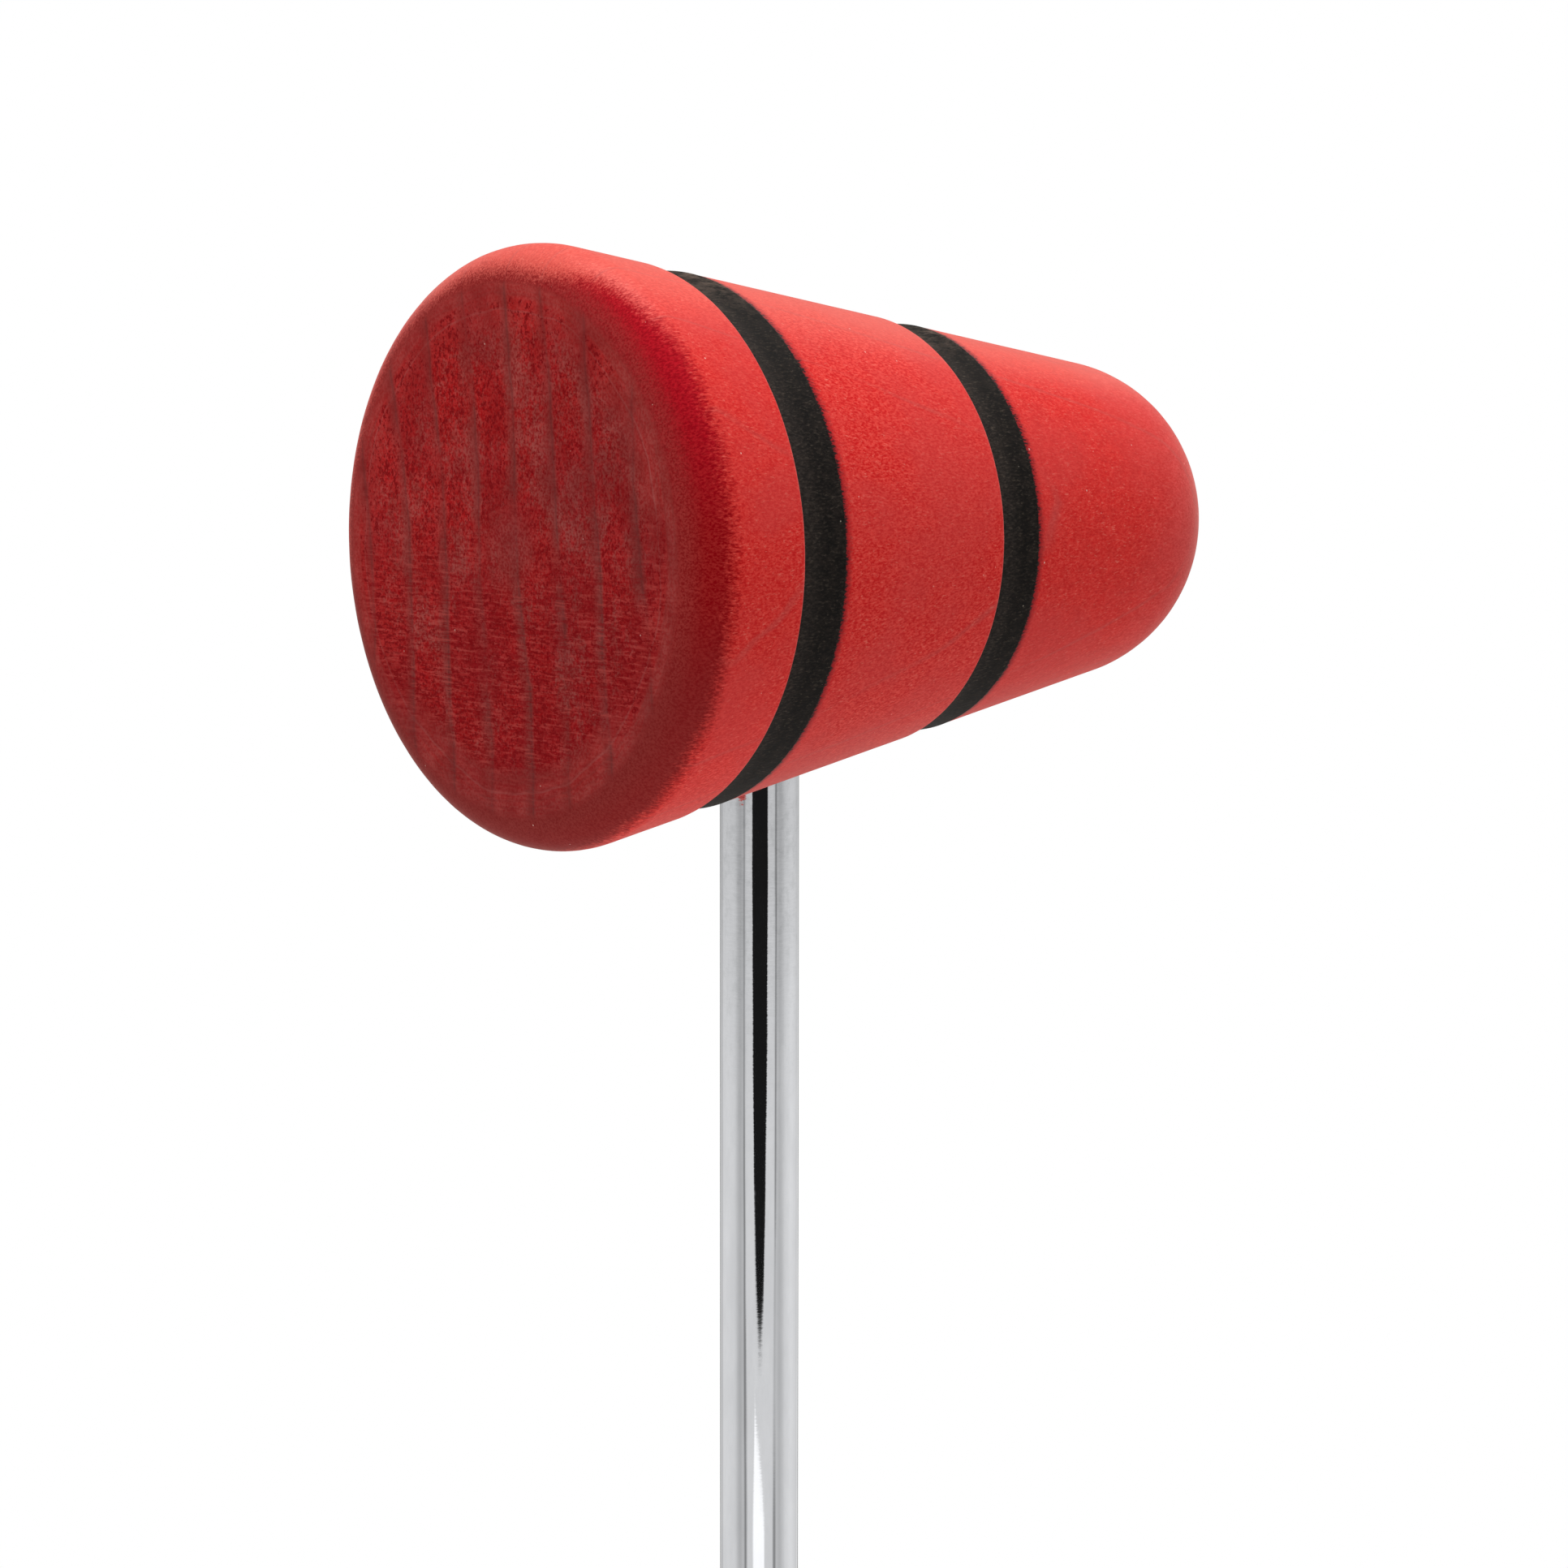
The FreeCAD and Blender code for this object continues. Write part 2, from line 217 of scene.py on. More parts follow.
def turned_piece_tree():
    """Turns a half outline round its axis: rounds its corners, cuts its long lines into short steps,
    spins it into a closed skin, lays it along the axis, and raises its grain."""
    tree = bpy.data.node_groups.new("turned_piece", "GeometryNodeTree")
    sockets = [
        ("Outline", "NodeSocketObject"),
        ("Steps round", "NodeSocketInt"),
        ("Step along", "NodeSocketFloat"),
        ("Lay", "NodeSocketVector"),
        ("Place", "NodeSocketVector"),
        ("Relief", "NodeSocketFloat"),
        ("Material", "NodeSocketMaterial"),
    ]
    for label, kind in sockets:
        tree.interface.new_socket(label, in_out="INPUT", socket_type=kind)
    tree.interface.new_socket("Geometry", in_out="OUTPUT", socket_type="NodeSocketGeometry")
    given = add(tree, "NodeGroupInput").outputs

    outline = add(tree, "GeometryNodeObjectInfo", {"Object": given["Outline"]}).outputs["Geometry"]
    rounding = add(tree, "GeometryNodeInputRadius").outputs[0]
    arc_size = reckon(tree, "SQRT", reckon(tree, "MULTIPLY", rounding, MM))
    arc_steps = reckon(tree, "MULTIPLY", arc_size, ARC_STEPS)
    rounded = add(
        tree,
        "GeometryNodeFilletCurve",
        {"Curve": outline, "Radius": rounding, "Count": arc_steps, "Limit Radius": True},
        mode="POLY",
    ).outputs[0]
    here = add(tree, "GeometryNodeSplineParameter").outputs["Length"]
    index = add(tree, "GeometryNodeInputIndex").outputs[0]
    after = add(
        tree, "GeometryNodeFieldAtIndex", {"Index": reckon(tree, "ADD", index, 1), "Value": here}
    ).outputs[0]
    stretch = reckon(tree, "SUBTRACT", after, here)
    cuts = reckon(tree, "FLOOR", reckon(tree, "DIVIDE", stretch, given["Step along"]))
    stepped = add(tree, "GeometryNodeSubdivideCurve", {"Curve": rounded, "Cuts": cuts}).outputs[0]

    points = add(tree, "GeometryNodeAttributeDomainSize", {0: stepped}, component="CURVE")
    rows = points.outputs["Point Count"]
    columns = reckon(tree, "ADD", given["Steps round"], 1)
    skin = add(tree, "GeometryNodeMeshGrid", {"Vertices X": columns, "Vertices Y": rows}).outputs[0]
    position = add(tree, "GeometryNodeInputPosition").outputs[0]
    on_outline = add(
        tree,
        "GeometryNodeSampleIndex",
        {"Geometry": stepped, "Value": position, "Index": reckon(tree, "MODULO", index, rows)},
        data_type="FLOAT_VECTOR",
    ).outputs[0]
    radius, along, _ = add(tree, "ShaderNodeSeparateXYZ", {0: on_outline}).outputs
    column = reckon(tree, "FLOOR", reckon(tree, "DIVIDE", index, rows))
    angle = reckon(tree, "MULTIPLY", reckon(tree, "DIVIDE", column, given["Steps round"]), math.tau)
    across = reckon(tree, "MULTIPLY", radius, reckon(tree, "COSINE", angle))
    up = reckon(tree, "MULTIPLY", radius, reckon(tree, "SINE", angle))
    spun_place = add(tree, "ShaderNodeCombineXYZ", {0: across, 1: up, 2: along}).outputs[0]
    spun = add(tree, "GeometryNodeSetPosition", {"Geometry": skin, "Position": spun_place}).outputs[0]
    closed = add(tree, "GeometryNodeMergeByDistance", {"Geometry": spun, "Distance": JOIN_DISTANCE})
    laid = add(
        tree,
        "GeometryNodeTransform",
        {"Geometry": closed.outputs[0], "Rotation": given["Lay"], "Translation": given["Place"]},
    ).outputs[0]

    in_mm = add(tree, "ShaderNodeVectorMath", {0: position, "Scale": MM}, operation="SCALE").outputs[0]
    growth = noise(tree, in_mm, (0.32, 0.02, 0.05), 3.0, 0.55, 7.0)
    fibres = noise(tree, in_mm, (0.9, 0.25, 0.9), 2.0, 0.5, 2.0)
    both = reckon(tree, "ADD", growth, reckon(tree, "MULTIPLY", fibres, 0.5))
    sunk = reckon(tree, "MULTIPLY", reckon(tree, "SUBTRACT", both, 1.2), given["Relief"])
    inward = reckon(tree, "MINIMUM", sunk, 0.0)
    outwards = add(tree, "GeometryNodeInputNormal").outputs[0]
    offset = add(tree, "ShaderNodeVectorMath", {0: outwards, "Scale": inward}, operation="SCALE").outputs[0]
    grained = add(tree, "GeometryNodeSetPosition", {"Geometry": laid, "Offset": offset}).outputs[0]
    real = add(tree, "GeometryNodeRealizeInstances", {"Geometry": grained}).outputs[0]
    dressed = add(tree, "GeometryNodeSetMaterial", {"Geometry": real, "Material": given["Material"]})
    add(tree, "NodeGroupOutput", {"Geometry": dressed.outputs[0]})
    return tree


turned_piece = turned_piece_tree()
ALONG_HEAD = (-math.pi / 2, 0, 0)
SHARP = math.radians(35)


def set_inputs(modifier, values):
    """Sets a modifier's inputs by the names of its tree's sockets."""
    for socket in modifier.node_group.interface.items_tree:
        if socket.in_out == "INPUT":
            modifier[socket.identifier] = values[socket.name]


def made_plain(piece):
    """Turns what the modifiers build into the piece's own plain mesh, with its sharp edges marked."""
    depsgraph = bpy.context.evaluated_depsgraph_get()
    mesh = bpy.data.meshes.new_from_object(piece.evaluated_get(depsgraph), depsgraph=depsgraph)
    piece.modifiers.clear()
    piece.data = mesh
    mesh.name = piece.name
    mesh.shade_smooth()
    mesh.set_sharp_from_angle(angle=SHARP)
    return piece


def turn(name, corners, material, steps, step_along, lay=(0, 0, 0), place=(0, 0, 0), relief=0.0):
    """A turned piece, from the corners of its half outline: radius, place along the axis, rounding."""
    curve = bpy.data.curves.new(name + "_outline", "CURVE")
    curve.dimensions = "3D"
    spline = curve.splines.new("POLY")
    spline.points.add(len(corners) - 1)
    for point, (radius, along, rounding) in zip(spline.points, corners):
        point.co = (radius, along, 0, 1)
        point.radius = rounding
    outline = bpy.data.objects.new(name + "_outline", curve)
    bpy.context.scene.collection.objects.link(outline)
    piece = bpy.data.objects.new(name, bpy.data.meshes.new(name))
    bpy.context.scene.collection.objects.link(piece)
    modifier = piece.modifiers.new("turning", "NODES")
    modifier.node_group = turned_piece
    values = {
        "Outline": outline,
        "Steps round": steps,
        "Step along": step_along,
        "Lay": lay,
        "Place": place,
        "Relief": relief,
        "Material": material,
    }
    set_inputs(modifier, values)
    made_plain(piece)
    bpy.data.objects.remove(outline)
    return piece


def rod_corners():
    """Half the rod's outline, from its lower end up, with the rings that key the glue."""
    radius, end_radius = rod_high.x, glue_high.x - GLUE_GAP
    shoulder, top = glue_low.z, rod_high.z
    corners = [(0, 0, 0), (radius - ROD_CHAMFER, 0, EDGE_ROUNDING), (radius, ROD_CHAMFER, EDGE_ROUNDING)]
    corners += [(radius, shoulder, 0), (end_radius, shoulder, 0)]
    stretch = top - shoulder - 2 * GLUE_RING_MARGIN - GLUE_RING_WIDTH
    for ring in range(GLUE_RINGS):
        low = shoulder + GLUE_RING_MARGIN + stretch * ring / (GLUE_RINGS - 1)
        high = low + GLUE_RING_WIDTH
        floor = end_radius - GLUE_RING_DEPTH
        corners += [(end_radius, low, 0), (floor, low, 0), (floor, high, 0), (end_radius, high, 0)]
    corners += [(end_radius, top - TIP_CHAMFER, 0), (end_radius - TIP_CHAMFER, top, 0), (0, top, 0)]
    return corners


rod = turn("chromed_rod", rod_corners(), chrome(), ROD_STEPS, ROD_STEP_ALONG)
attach(rod, "root")
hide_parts("shaft")


# The glue bed: resin poured in the blind hole and pressed up round the rod's ringed end, where it set
# hard. It is hidden once the beater is together, and stays the frame's own node.
BUBBLE_HEIGHT = 0.00005


def set_glue():
    """Amber resin with small trapped bubbles."""
    material, tree = material_and_tree("set_glue")
    place = millimetres(tree, (0, 0, 0))
    clouds = noise(tree, place, (0.3, 0.3, 0.3), 3.0)
    bubbles = add(tree, "ShaderNodeTexVoronoi", {"Vector": place, "Scale": 1.6}).outputs["Distance"]
    bubble = ease(tree, bubbles, 0.1, 0.16, 1.0, 0.0)
    amber = blend(tree, clouds, (0.30, 0.17, 0.05), (0.50, 0.34, 0.13))
    colour = blend(tree, bubble, amber, (0.62, 0.50, 0.30))
    bump = add(tree, "ShaderNodeBump", {"Height": bubble, "Distance": BUBBLE_HEIGHT, "Strength": 0.4})
    shader = add(
        tree,
        "ShaderNodeBsdfPrincipled",
        {"Base Color": colour, "Roughness": 0.3, "Normal": bump.outputs[0]},
    )
    finish_with(tree, shader)
    return material


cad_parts["glue_bed"].material_slots[0].material = set_glue()

# The head: a block of maple turned to a cone, with the grain along it, so that its flat striking face
# shows end grain. It is sanded, dipped in red dye that soaks deepest into the end grain, and drilled
# across for the rod, with a shallow recess at the hole's mouth.
head_low, head_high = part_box("head")
front_low, front_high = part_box("front_band")
rear_low, rear_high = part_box("rear_band")
LIP_ROUNDING = 0.0003
PAINT_FILM = 0.0001
FACE_ROUNDING = 0.0045
TAIL_SPOT = 0.0008
MOUTH_RELIEF = 0.00085
DRILL_POINT = math.radians(118)
GRAIN_RELIEF = 0.00005
NAP_HEIGHT = 0.00005
HEAD_STEPS = 320
HEAD_STEP_ALONG = 0.0006
DRILL_STEPS = 96
DRILL_STEP_ALONG = 0.01
axis_height = (front_low.z + front_high.z) / 2
head_centre = Vector((0, 0, axis_height))
front_lip_radius = front_high.x + LIP_ROUNDING
rear_lip_radius = rear_high.x + LIP_ROUNDING
taper = (front_lip_radius - rear_lip_radius) / (rear_low.y - front_low.y)
taper_angle = math.atan(taper)


def cone_radius(along):
    """The cone's radius at a place along the head's axis."""
    return front_lip_radius - (along - front_low.y) * taper


tail_radius = cone_radius(head_high.y)
tail_rounding = (tail_radius - TAIL_SPOT) * math.cos(taper_angle) / (1 - math.sin(taper_angle))
rounding_centre = head_low.y + FACE_ROUNDING
rounding_radius = cone_radius(rounding_centre) - FACE_ROUNDING / math.cos(taper_angle)


def head_corners():
    """Half the head's outline, from the middle of the face round to the tail."""
    corners = [(0, head_low.y, 0), (cone_radius(head_low.y), head_low.y, FACE_ROUNDING)]
    for low, high in ((front_low, front_high), (rear_low, rear_high)):
        lip, far_edge = low.y, high.y
        floor = cone_radius(far_edge) - PAINT_FILM
        corners += [(cone_radius(lip), lip, LIP_ROUNDING), (floor, lip, 0)]
        corners += [(floor, far_edge, 0), (cone_radius(far_edge), far_edge, 0)]
    corners += [(tail_radius, head_high.y, tail_rounding), (0, head_high.y, 0)]
    return corners


def nap_group():
    """Wood left napped by wet dye: curled tufts, the ragged ends of fibres along Y, and faint clouds."""
    inputs = [("Place", "NodeSocketVector")]
    group, given, result = effect_group("nap", inputs, ["Tufts", "Fibres", "Clouds"])
    place = given["Place"]
    tufts = noise(group, place, (4.9, 2.0, 4.9), 3.0, 0.68, 1.0, 0.25)
    group.links.new(tufts, result.inputs["Tufts"])
    group.links.new(noise(group, place, (5.4, 1.1, 5.4), 2.0, 0.62, 12.0), result.inputs["Fibres"])
    group.links.new(noise(group, place, (0.09, 0.06, 0.09), 3.0, 0.6, 15.0), result.inputs["Clouds"])
    return group


nap = nap_group()


def growth_rings(tree, place, x, z):
    """How near a place is to the thin dark line of a growth ring, and to the dense wood before it."""
    pith_across, pith_below, ring_spacing = 319.1, 28.0, 6.2
    sideways = reckon(tree, "POWER", reckon(tree, "ADD", x, pith_across), 2.0)
    upright = reckon(tree, "POWER", reckon(tree, "ADD", z, pith_below), 2.0)
    from_pith = reckon(tree, "SQRT", reckon(tree, "ADD", sideways, upright))
    slow_bend = around(tree, noise(tree, place, (0.08, 0.012, 0.045), 1.0), 3.4)
    quick_bend = around(tree, noise(tree, place, (0.5, 0.05, 0.20), 2.0, 0.5, 4.0), 1.0)
    bent = reckon(tree, "ADD", from_pith, reckon(tree, "ADD", slow_bend, quick_bend))
    share = reckon(tree, "FRACT", reckon(tree, "DIVIDE", bent, ring_spacing))
    dense = reckon(tree, "POWER", ease(tree, share, 0.60, 0.99), 2.0)
    after = ease(tree, share, 0.0, 0.10, 1.0, 0.0)
    band = reckon(tree, "MAXIMUM", dense, after)
    line = reckon(tree, "MAXIMUM", ease(tree, share, 0.955, 0.995), ease(tree, share, 0.0, 0.035, 1.0, 0.0))
    fading = ease(tree, noise(tree, place, (0.20, 0.02, 0.13), 2.0, 0.55, 9.0), 0.27, 0.62, 0.20, 1.0)
    return reckon(tree, "MULTIPLY", band, fading), reckon(tree, "MULTIPLY", line, fading)


def towards_side(tree, x, z, across, up):
    """How far a place lies in the direction that goes this much across and this much up."""
    return reckon(tree, "ADD", reckon(tree, "MULTIPLY", x, across), reckon(tree, "MULTIPLY", z, up))


def distance_out(tree, x, z):
    """How far a place is from the head's axis."""
    squares = reckon(tree, "ADD", reckon(tree, "MULTIPLY", x, x), reckon(tree, "MULTIPLY", z, z))
    return reckon(tree, "SQRT", squares)


def worn_margin(tree, x, z, out, from_middle):
    """How far the face is sanded smooth: a thin rim all round, wider below and to the right."""
    thin_rim = ease(tree, out, 24.0, 24.5)
    low = ease(tree, z, -13.0, -20.0, 0.0, 0.7)
    worn_below = reckon(tree, "MULTIPLY", low, ease(tree, from_middle, 20.5, 21.8))
    facing_right = reckon(tree, "DIVIDE", towards_side(tree, x, z, 0.88, 0.47), out)
    at_right = ease(tree, facing_right, 0.93, 0.99, 0.0, 0.6)
    worn_right = reckon(tree, "MULTIPLY", at_right, ease(tree, from_middle, 19.2, 20.6))
    return reckon(tree, "MAXIMUM", thin_rim, reckon(tree, "MAXIMUM", worn_below, worn_right))


def open_pores(tree, place, z, open_wood, rough):
    """Pores that the cut tore open: round ones above, and short level dashes lower down."""
    pit_edge = 0.10
    round_pores = noise(tree, place, (2.7, 0.3, 2.3), 3.0, 0.62)
    dashes = noise(tree, place, (1.3, 0.3, 4.2), 3.0, 0.62, 6.0)
    pits = between(tree, ease(tree, z, 4.0, -9.0), round_pores, dashes)
    openness = between(tree, open_wood, 0.39, 0.50)
    torn = reckon(tree, "DIVIDE", reckon(tree, "SUBTRACT", openness, pits), pit_edge, clamp=True)
    squeezed = scaled_by(tree, place, (2.1, 0.2, 1.9))
    cells = add(tree, "ShaderNodeTexVoronoi", {"Vector": squeezed, "Scale": 1.0}).outputs
    chance = add(tree, "ShaderNodeSeparateXYZ", {0: cells["Color"]}).outputs[0]
    width = reckon(tree, "ADD", reckon(tree, "MULTIPLY", chance, 0.34), 0.10)
    widest = reckon(tree, "MULTIPLY", width, open_wood)
    dot = reckon(tree, "DIVIDE", reckon(tree, "SUBTRACT", widest, cells["Distance"]), pit_edge, clamp=True)
    return reckon(tree, "MULTIPLY", reckon(tree, "MAXIMUM", dot, torn), rough)


def wood_rays(tree, place, z, rough):
    """Fine level rays across the end grain, pale and dark, plainest on the lower half of the face."""
    rays = noise(tree, place, (0.30, 0.1, 3.6), 3.0, 0.6, 8.0)
    lower_half = ease(tree, z, 8.0, -7.0, 0.15, 1.0)
    strength = reckon(tree, "MULTIPLY", lower_half, reckon(tree, "MAXIMUM", rough, 0.4))
    pale_ray = reckon(tree, "MULTIPLY", ease(tree, rays, 0.53, 0.64), strength)
    dark_ray = reckon(tree, "MULTIPLY", ease(tree, rays, 0.47, 0.37), strength)
    return pale_ray, dark_ray


def striking_face(tree, place, x, z, out, band, line):
    """The face's colour and its pits. Dye soaks into loose end grain in saturated patches, pricked with
    open pores, and leaves the dense wood and the sanded margin brownish."""
    broad = noise(tree, place, (0.22, 0.02, 0.14), 3.0, 0.62, 5.0)
    small = around(tree, noise(tree, place, (1.6, 0.05, 1.3), 4.0, 0.78, 6.5), 0.95)
    looser_below = ease(tree, z, 5.0, -9.0, 0.0, 0.09)
    looseness = reckon(tree, "ADD", reckon(tree, "ADD", broad, small), looser_below)
    beside_rings = reckon(tree, "SUBTRACT", 1.0, reckon(tree, "MULTIPLY", band, 0.85))
    loose = reckon(tree, "MULTIPLY", ease(tree, looseness, 0.34, 0.60), beside_rings)
    margin_bend = around(tree, noise(tree, place, (0.12, 0.12, 0.12), 2.0, 0.5, 13.0), 2.0)
    from_middle = reckon(tree, "ADD", out, margin_bend)
    in_margin = worn_margin(tree, x, z, out, from_middle)
    centre_bend = reckon(tree, "MULTIPLY", margin_bend, 1.2)
    at_centre = ease(tree, reckon(tree, "ADD", out, centre_bend), 1.5, 5.5, 0.7, 0.0)
    smooth = reckon(tree, "MAXIMUM", in_margin, at_centre)
    rough = reckon(tree, "SUBTRACT", 1.0, smooth)
    open_wood = reckon(tree, "MULTIPLY", loose, rough)
    pore = open_pores(tree, place, z, open_wood, rough)
    pale_ray, dark_ray = wood_rays(tree, place, z, rough)

    gritty = ease(tree, noise(tree, place, (3.6, 0.5, 3.6), 2.0, 0.6, 17.0), 0.36, 0.62)
    brownish = blend(tree, gritty, (0.295, 0.0145, 0.0145), (0.398, 0.070, 0.060))
    reddish = blend(tree, gritty, (0.381, 0.001, 0.0035), (0.490, 0.0245, 0.0235))
    inner = blend(tree, open_wood, brownish, reddish)
    outer_share = ease(tree, from_middle, 20.3, 22.6, 0.0, 0.45)
    wood = blend(tree, outer_share, inner, (0.500, 0.029, 0.027))
    turning = add(tree, "ShaderNodeCombineXYZ", {0: from_middle}).outputs[0]
    cut_marks = ease(tree, noise(tree, turning, (2.4, 1.0, 1.0), 3.0, 0.6), 0.42, 0.70, 0.0, 0.5)
    scored = blend(tree, reckon(tree, "MULTIPLY", smooth, cut_marks), wood, (0.24, 0.030, 0.027))
    # Painted highlight: pale rings near the face's edge stand for lathe ridges catching the light.
    lathe_ridge_highlights = ease(tree, noise(tree, turning, (1.7, 1.0, 1.0), 1.0, 0.5, 31.0), 0.56, 0.66, 0.0, 0.42)
    ridge_highlight = reckon(tree, "MULTIPLY", lathe_ridge_highlights, ease(tree, out, 22.0, 23.0))
    with_ridge_highlight = blend(tree, ridge_highlight, scored, (0.46, 0.095, 0.085))
    shaded = blend(tree, reckon(tree, "MULTIPLY", band, 0.62), with_ridge_highlight, (0.245, 0.036, 0.032))
    lined = blend(tree, reckon(tree, "MULTIPLY", line, 0.42), shaded, (0.150, 0.030, 0.028))
    broad_tone = ease(tree, noise(tree, place, (0.13, 0.1, 0.10), 2.0, 0.5, 21.0), 0.36, 0.62, 0.34, 0.0)
    clouded = blend(tree, broad_tone, lined, (0.225, 0.010, 0.013))
    lower_right = ease(tree, towards_side(tree, x, z, 0.6, -0.8), -16.0, 10.0)
    toned = blend(tree, lower_right, clouded, scaled_by(tree, clouded, (0.83, 1.0, 1.0)))
    blotches = ease(tree, noise(tree, place, (0.55, 0.3, 0.45), 2.0, 0.55, 67.0), 0.36, 0.64)
    paler = scaled_by(tree, toned, (1.07, 1.12, 1.12))
    darker = scaled_by(tree, toned, (0.92, 0.78, 0.78))
    blotched = blend(tree, blotches, paler, darker)
    rayed = blend(tree, reckon(tree, "MULTIPLY", pale_ray, 0.45), blotched, (0.50, 0.070, 0.060))
    streaked = blend(tree, reckon(tree, "MULTIPLY", dark_ray, 0.60), rayed, (0.255, 0.001, 0.005))
    colour = blend(tree, reckon(tree, "MULTIPLY", pore, 0.90), streaked, (0.218, 0.0003, 0.003))
    depth = reckon(tree, "SUBTRACT", reckon(tree, "MULTIPLY", pale_ray, 0.2), pore)
    return colour, depth


def round_the_edge(tree, y, out):
    """How far round the face's rounding a place is: 0 on the face, 1 on the side."""
    rise = reckon(tree, "MAXIMUM", reckon(tree, "SUBTRACT", out, rounding_radius * MM), 0.01)
    reach = reckon(tree, "SUBTRACT", rounding_centre * MM, y)
    return reckon(tree, "DIVIDE", reckon(tree, "ARCTAN2", rise, reach), math.pi / 2 + taper_angle)


def deep_edge(tree, x, z, out, tufts, fibres):
    """The deep red where the rounding cuts the fibres: darker below, and crimson at the upper right."""
    stirred = ease(tree, reckon(tree, "ADD", tufts, around(tree, fibres, 0.8)), 0.34, 0.66)
    soaked = blend(tree, stirred, (0.250, 0.0001, 0.003), (0.350, 0.016, 0.015))
    darker = blend(tree, ease(tree, z, 0.0, -14.0, 0.0, 0.7), soaked, (0.200, 0.004, 0.007))
    upper_right = reckon(tree, "DIVIDE", towards_side(tree, x, z, 0.61, 0.79), out)
    crimson = blend(tree, ease(tree, fibres, 0.36, 0.64), (0.280, 0.0004, 0.007), (0.450, 0.003, 0.014))
    return blend(tree, ease(tree, upper_right, 0.62, 0.99, 0.0, 0.75), darker, crimson)


def napped_side(tree, place, y, steepness, tufts, fibres, clouds):
    """The bright side: flecked and combed along the fibres, calmer and rubbed paler towards the tail, and
    smudged
    by hands. Light is painted in: redder low at the front, as if lit from below, and paler on top, where it
    catches the light from above."""
    flecks = blend(tree, ease(tree, tufts, 0.38, 0.60), (0.515, 0.003, 0.004), (0.672, 0.044, 0.034))
    calm_tail = ease(tree, y, 6.0, 34.0, 0.0, 0.48)
    calmer = reckon(tree, "ADD", calm_tail, ease(tree, y, -8.0, -22.0, 0.0, 0.20))
    flecked = blend(tree, calmer, flecks, (0.610, 0.021, 0.017))
    combed = blend(tree, ease(tree, fibres, 0.46, 0.30, 0.0, 0.55), flecked, (0.480, 0.009, 0.012))
    standing = reckon(tree, "MAXIMUM", ease(tree, tufts, 0.60, 0.78), ease(tree, fibres, 0.58, 0.76))
    bright = blend(tree, reckon(tree, "MULTIPLY", standing, 0.62), combed, (0.740, 0.175, 0.132))
    dulled = blend(tree, ease(tree, clouds, 0.40, 0.64, 0.0, 0.45), bright, (0.540, 0.042, 0.039))
    end_grain = blend(tree, ease(tree, tufts, 0.36, 0.64), (0.555, 0.040, 0.037), (0.645, 0.076, 0.069))
    rubbed = blend(tree, ease(tree, y, 34.0, 45.0, 0.0, 0.58), dulled, end_grain)
    smudges = ease(tree, noise(tree, place, (0.9, 0.6, 0.9), 3.0, 0.6, 41.0), 0.40, 0.62)
    handled = reckon(tree, "MULTIPLY", smudges, ease(tree, y, 14.0, 24.0, 0.40, 1.0))
    smudged = blend(tree, handled, rubbed, scaled_by(tree, rubbed, (0.94, 0.88, 0.88)))
    # Painted light: the lower front of the side is made redder, standing for light bounced up from below.
    in_front = ease(tree, y, -8.0, -16.0)
    bounce_lit_low_front = reckon(tree, "MULTIPLY", in_front, ease(tree, steepness, -0.20, -0.80))
    side_with_painted_bounce = blend(tree, bounce_lit_low_front, smudged, scaled_by(tree, smudged, (1.12, 1.0, 1.0)))
    return blend(tree, ease(tree, steepness, 0.72, 0.97, 0.0, 0.14), side_with_painted_bounce, (0.950, 0.330, 0.220))


def crept_paint(tree, place, y, steepness, tufts, fibres, wood):
    """Paint that crept along the fibres past each band's far edge, and each groove's pale lip: partly
    sanded wear, partly a painted highlight where the edge catches the light.
    """
    bleed = 0.0
    pale = 0.0
    worn_and_highlit_lip = ease(tree, noise(tree, place, (0.5, 0.3, 0.5), 3.0, 0.6, 19.0), 0.36, 0.60, 0.35, 1.0)
    fringe = ease(tree, reckon(tree, "ADD", fibres, around(tree, tufts, 0.5)), 0.38, 0.70)
    longest_fibre = ease(tree, steepness, 0.0, 0.8, 0.42, 0.70)
    ends = reckon(tree, "MULTIPLY", fringe, longest_fibre)
    for low, high in ((front_low, front_high), (rear_low, rear_high)):
        past = reckon(tree, "SUBTRACT", y, high.y * MM)
        crept = reckon(tree, "SUBTRACT", past, ends)
        beyond = reckon(tree, "GREATER_THAN", past, -0.35)
        black = reckon(tree, "MULTIPLY", ease(tree, crept, -0.15, 0.22, 1.0, 0.0), beyond)
        bleed = reckon(tree, "MAXIMUM", bleed, black)
        stain = reckon(tree, "MULTIPLY", ease(tree, crept, 0.0, 1.1, 0.90, 0.0), beyond)
        wood = blend(tree, stain, wood, (0.230, 0.004, 0.008))
        # Painted highlight, partly real wear: a thin pale line on each groove's sanded lip, where its edge
        # catches the light.
        ahead = reckon(tree, "SUBTRACT", low.y * MM, y)
        near_lip_highlight = reckon(tree, "MULTIPLY", ease(tree, ahead, 0.05, 0.45, 0.50, 0.0), worn_and_highlit_lip)
        lip = reckon(tree, "MULTIPLY", near_lip_highlight, reckon(tree, "GREATER_THAN", ahead, -0.02))
        pale = reckon(tree, "MAXIMUM", pale, lip)
    with_lip_highlight = blend(tree, pale, wood, (0.66, 0.115, 0.105))
    return blend(tree, bleed, with_lip_highlight, (0.014, 0.005, 0.005))


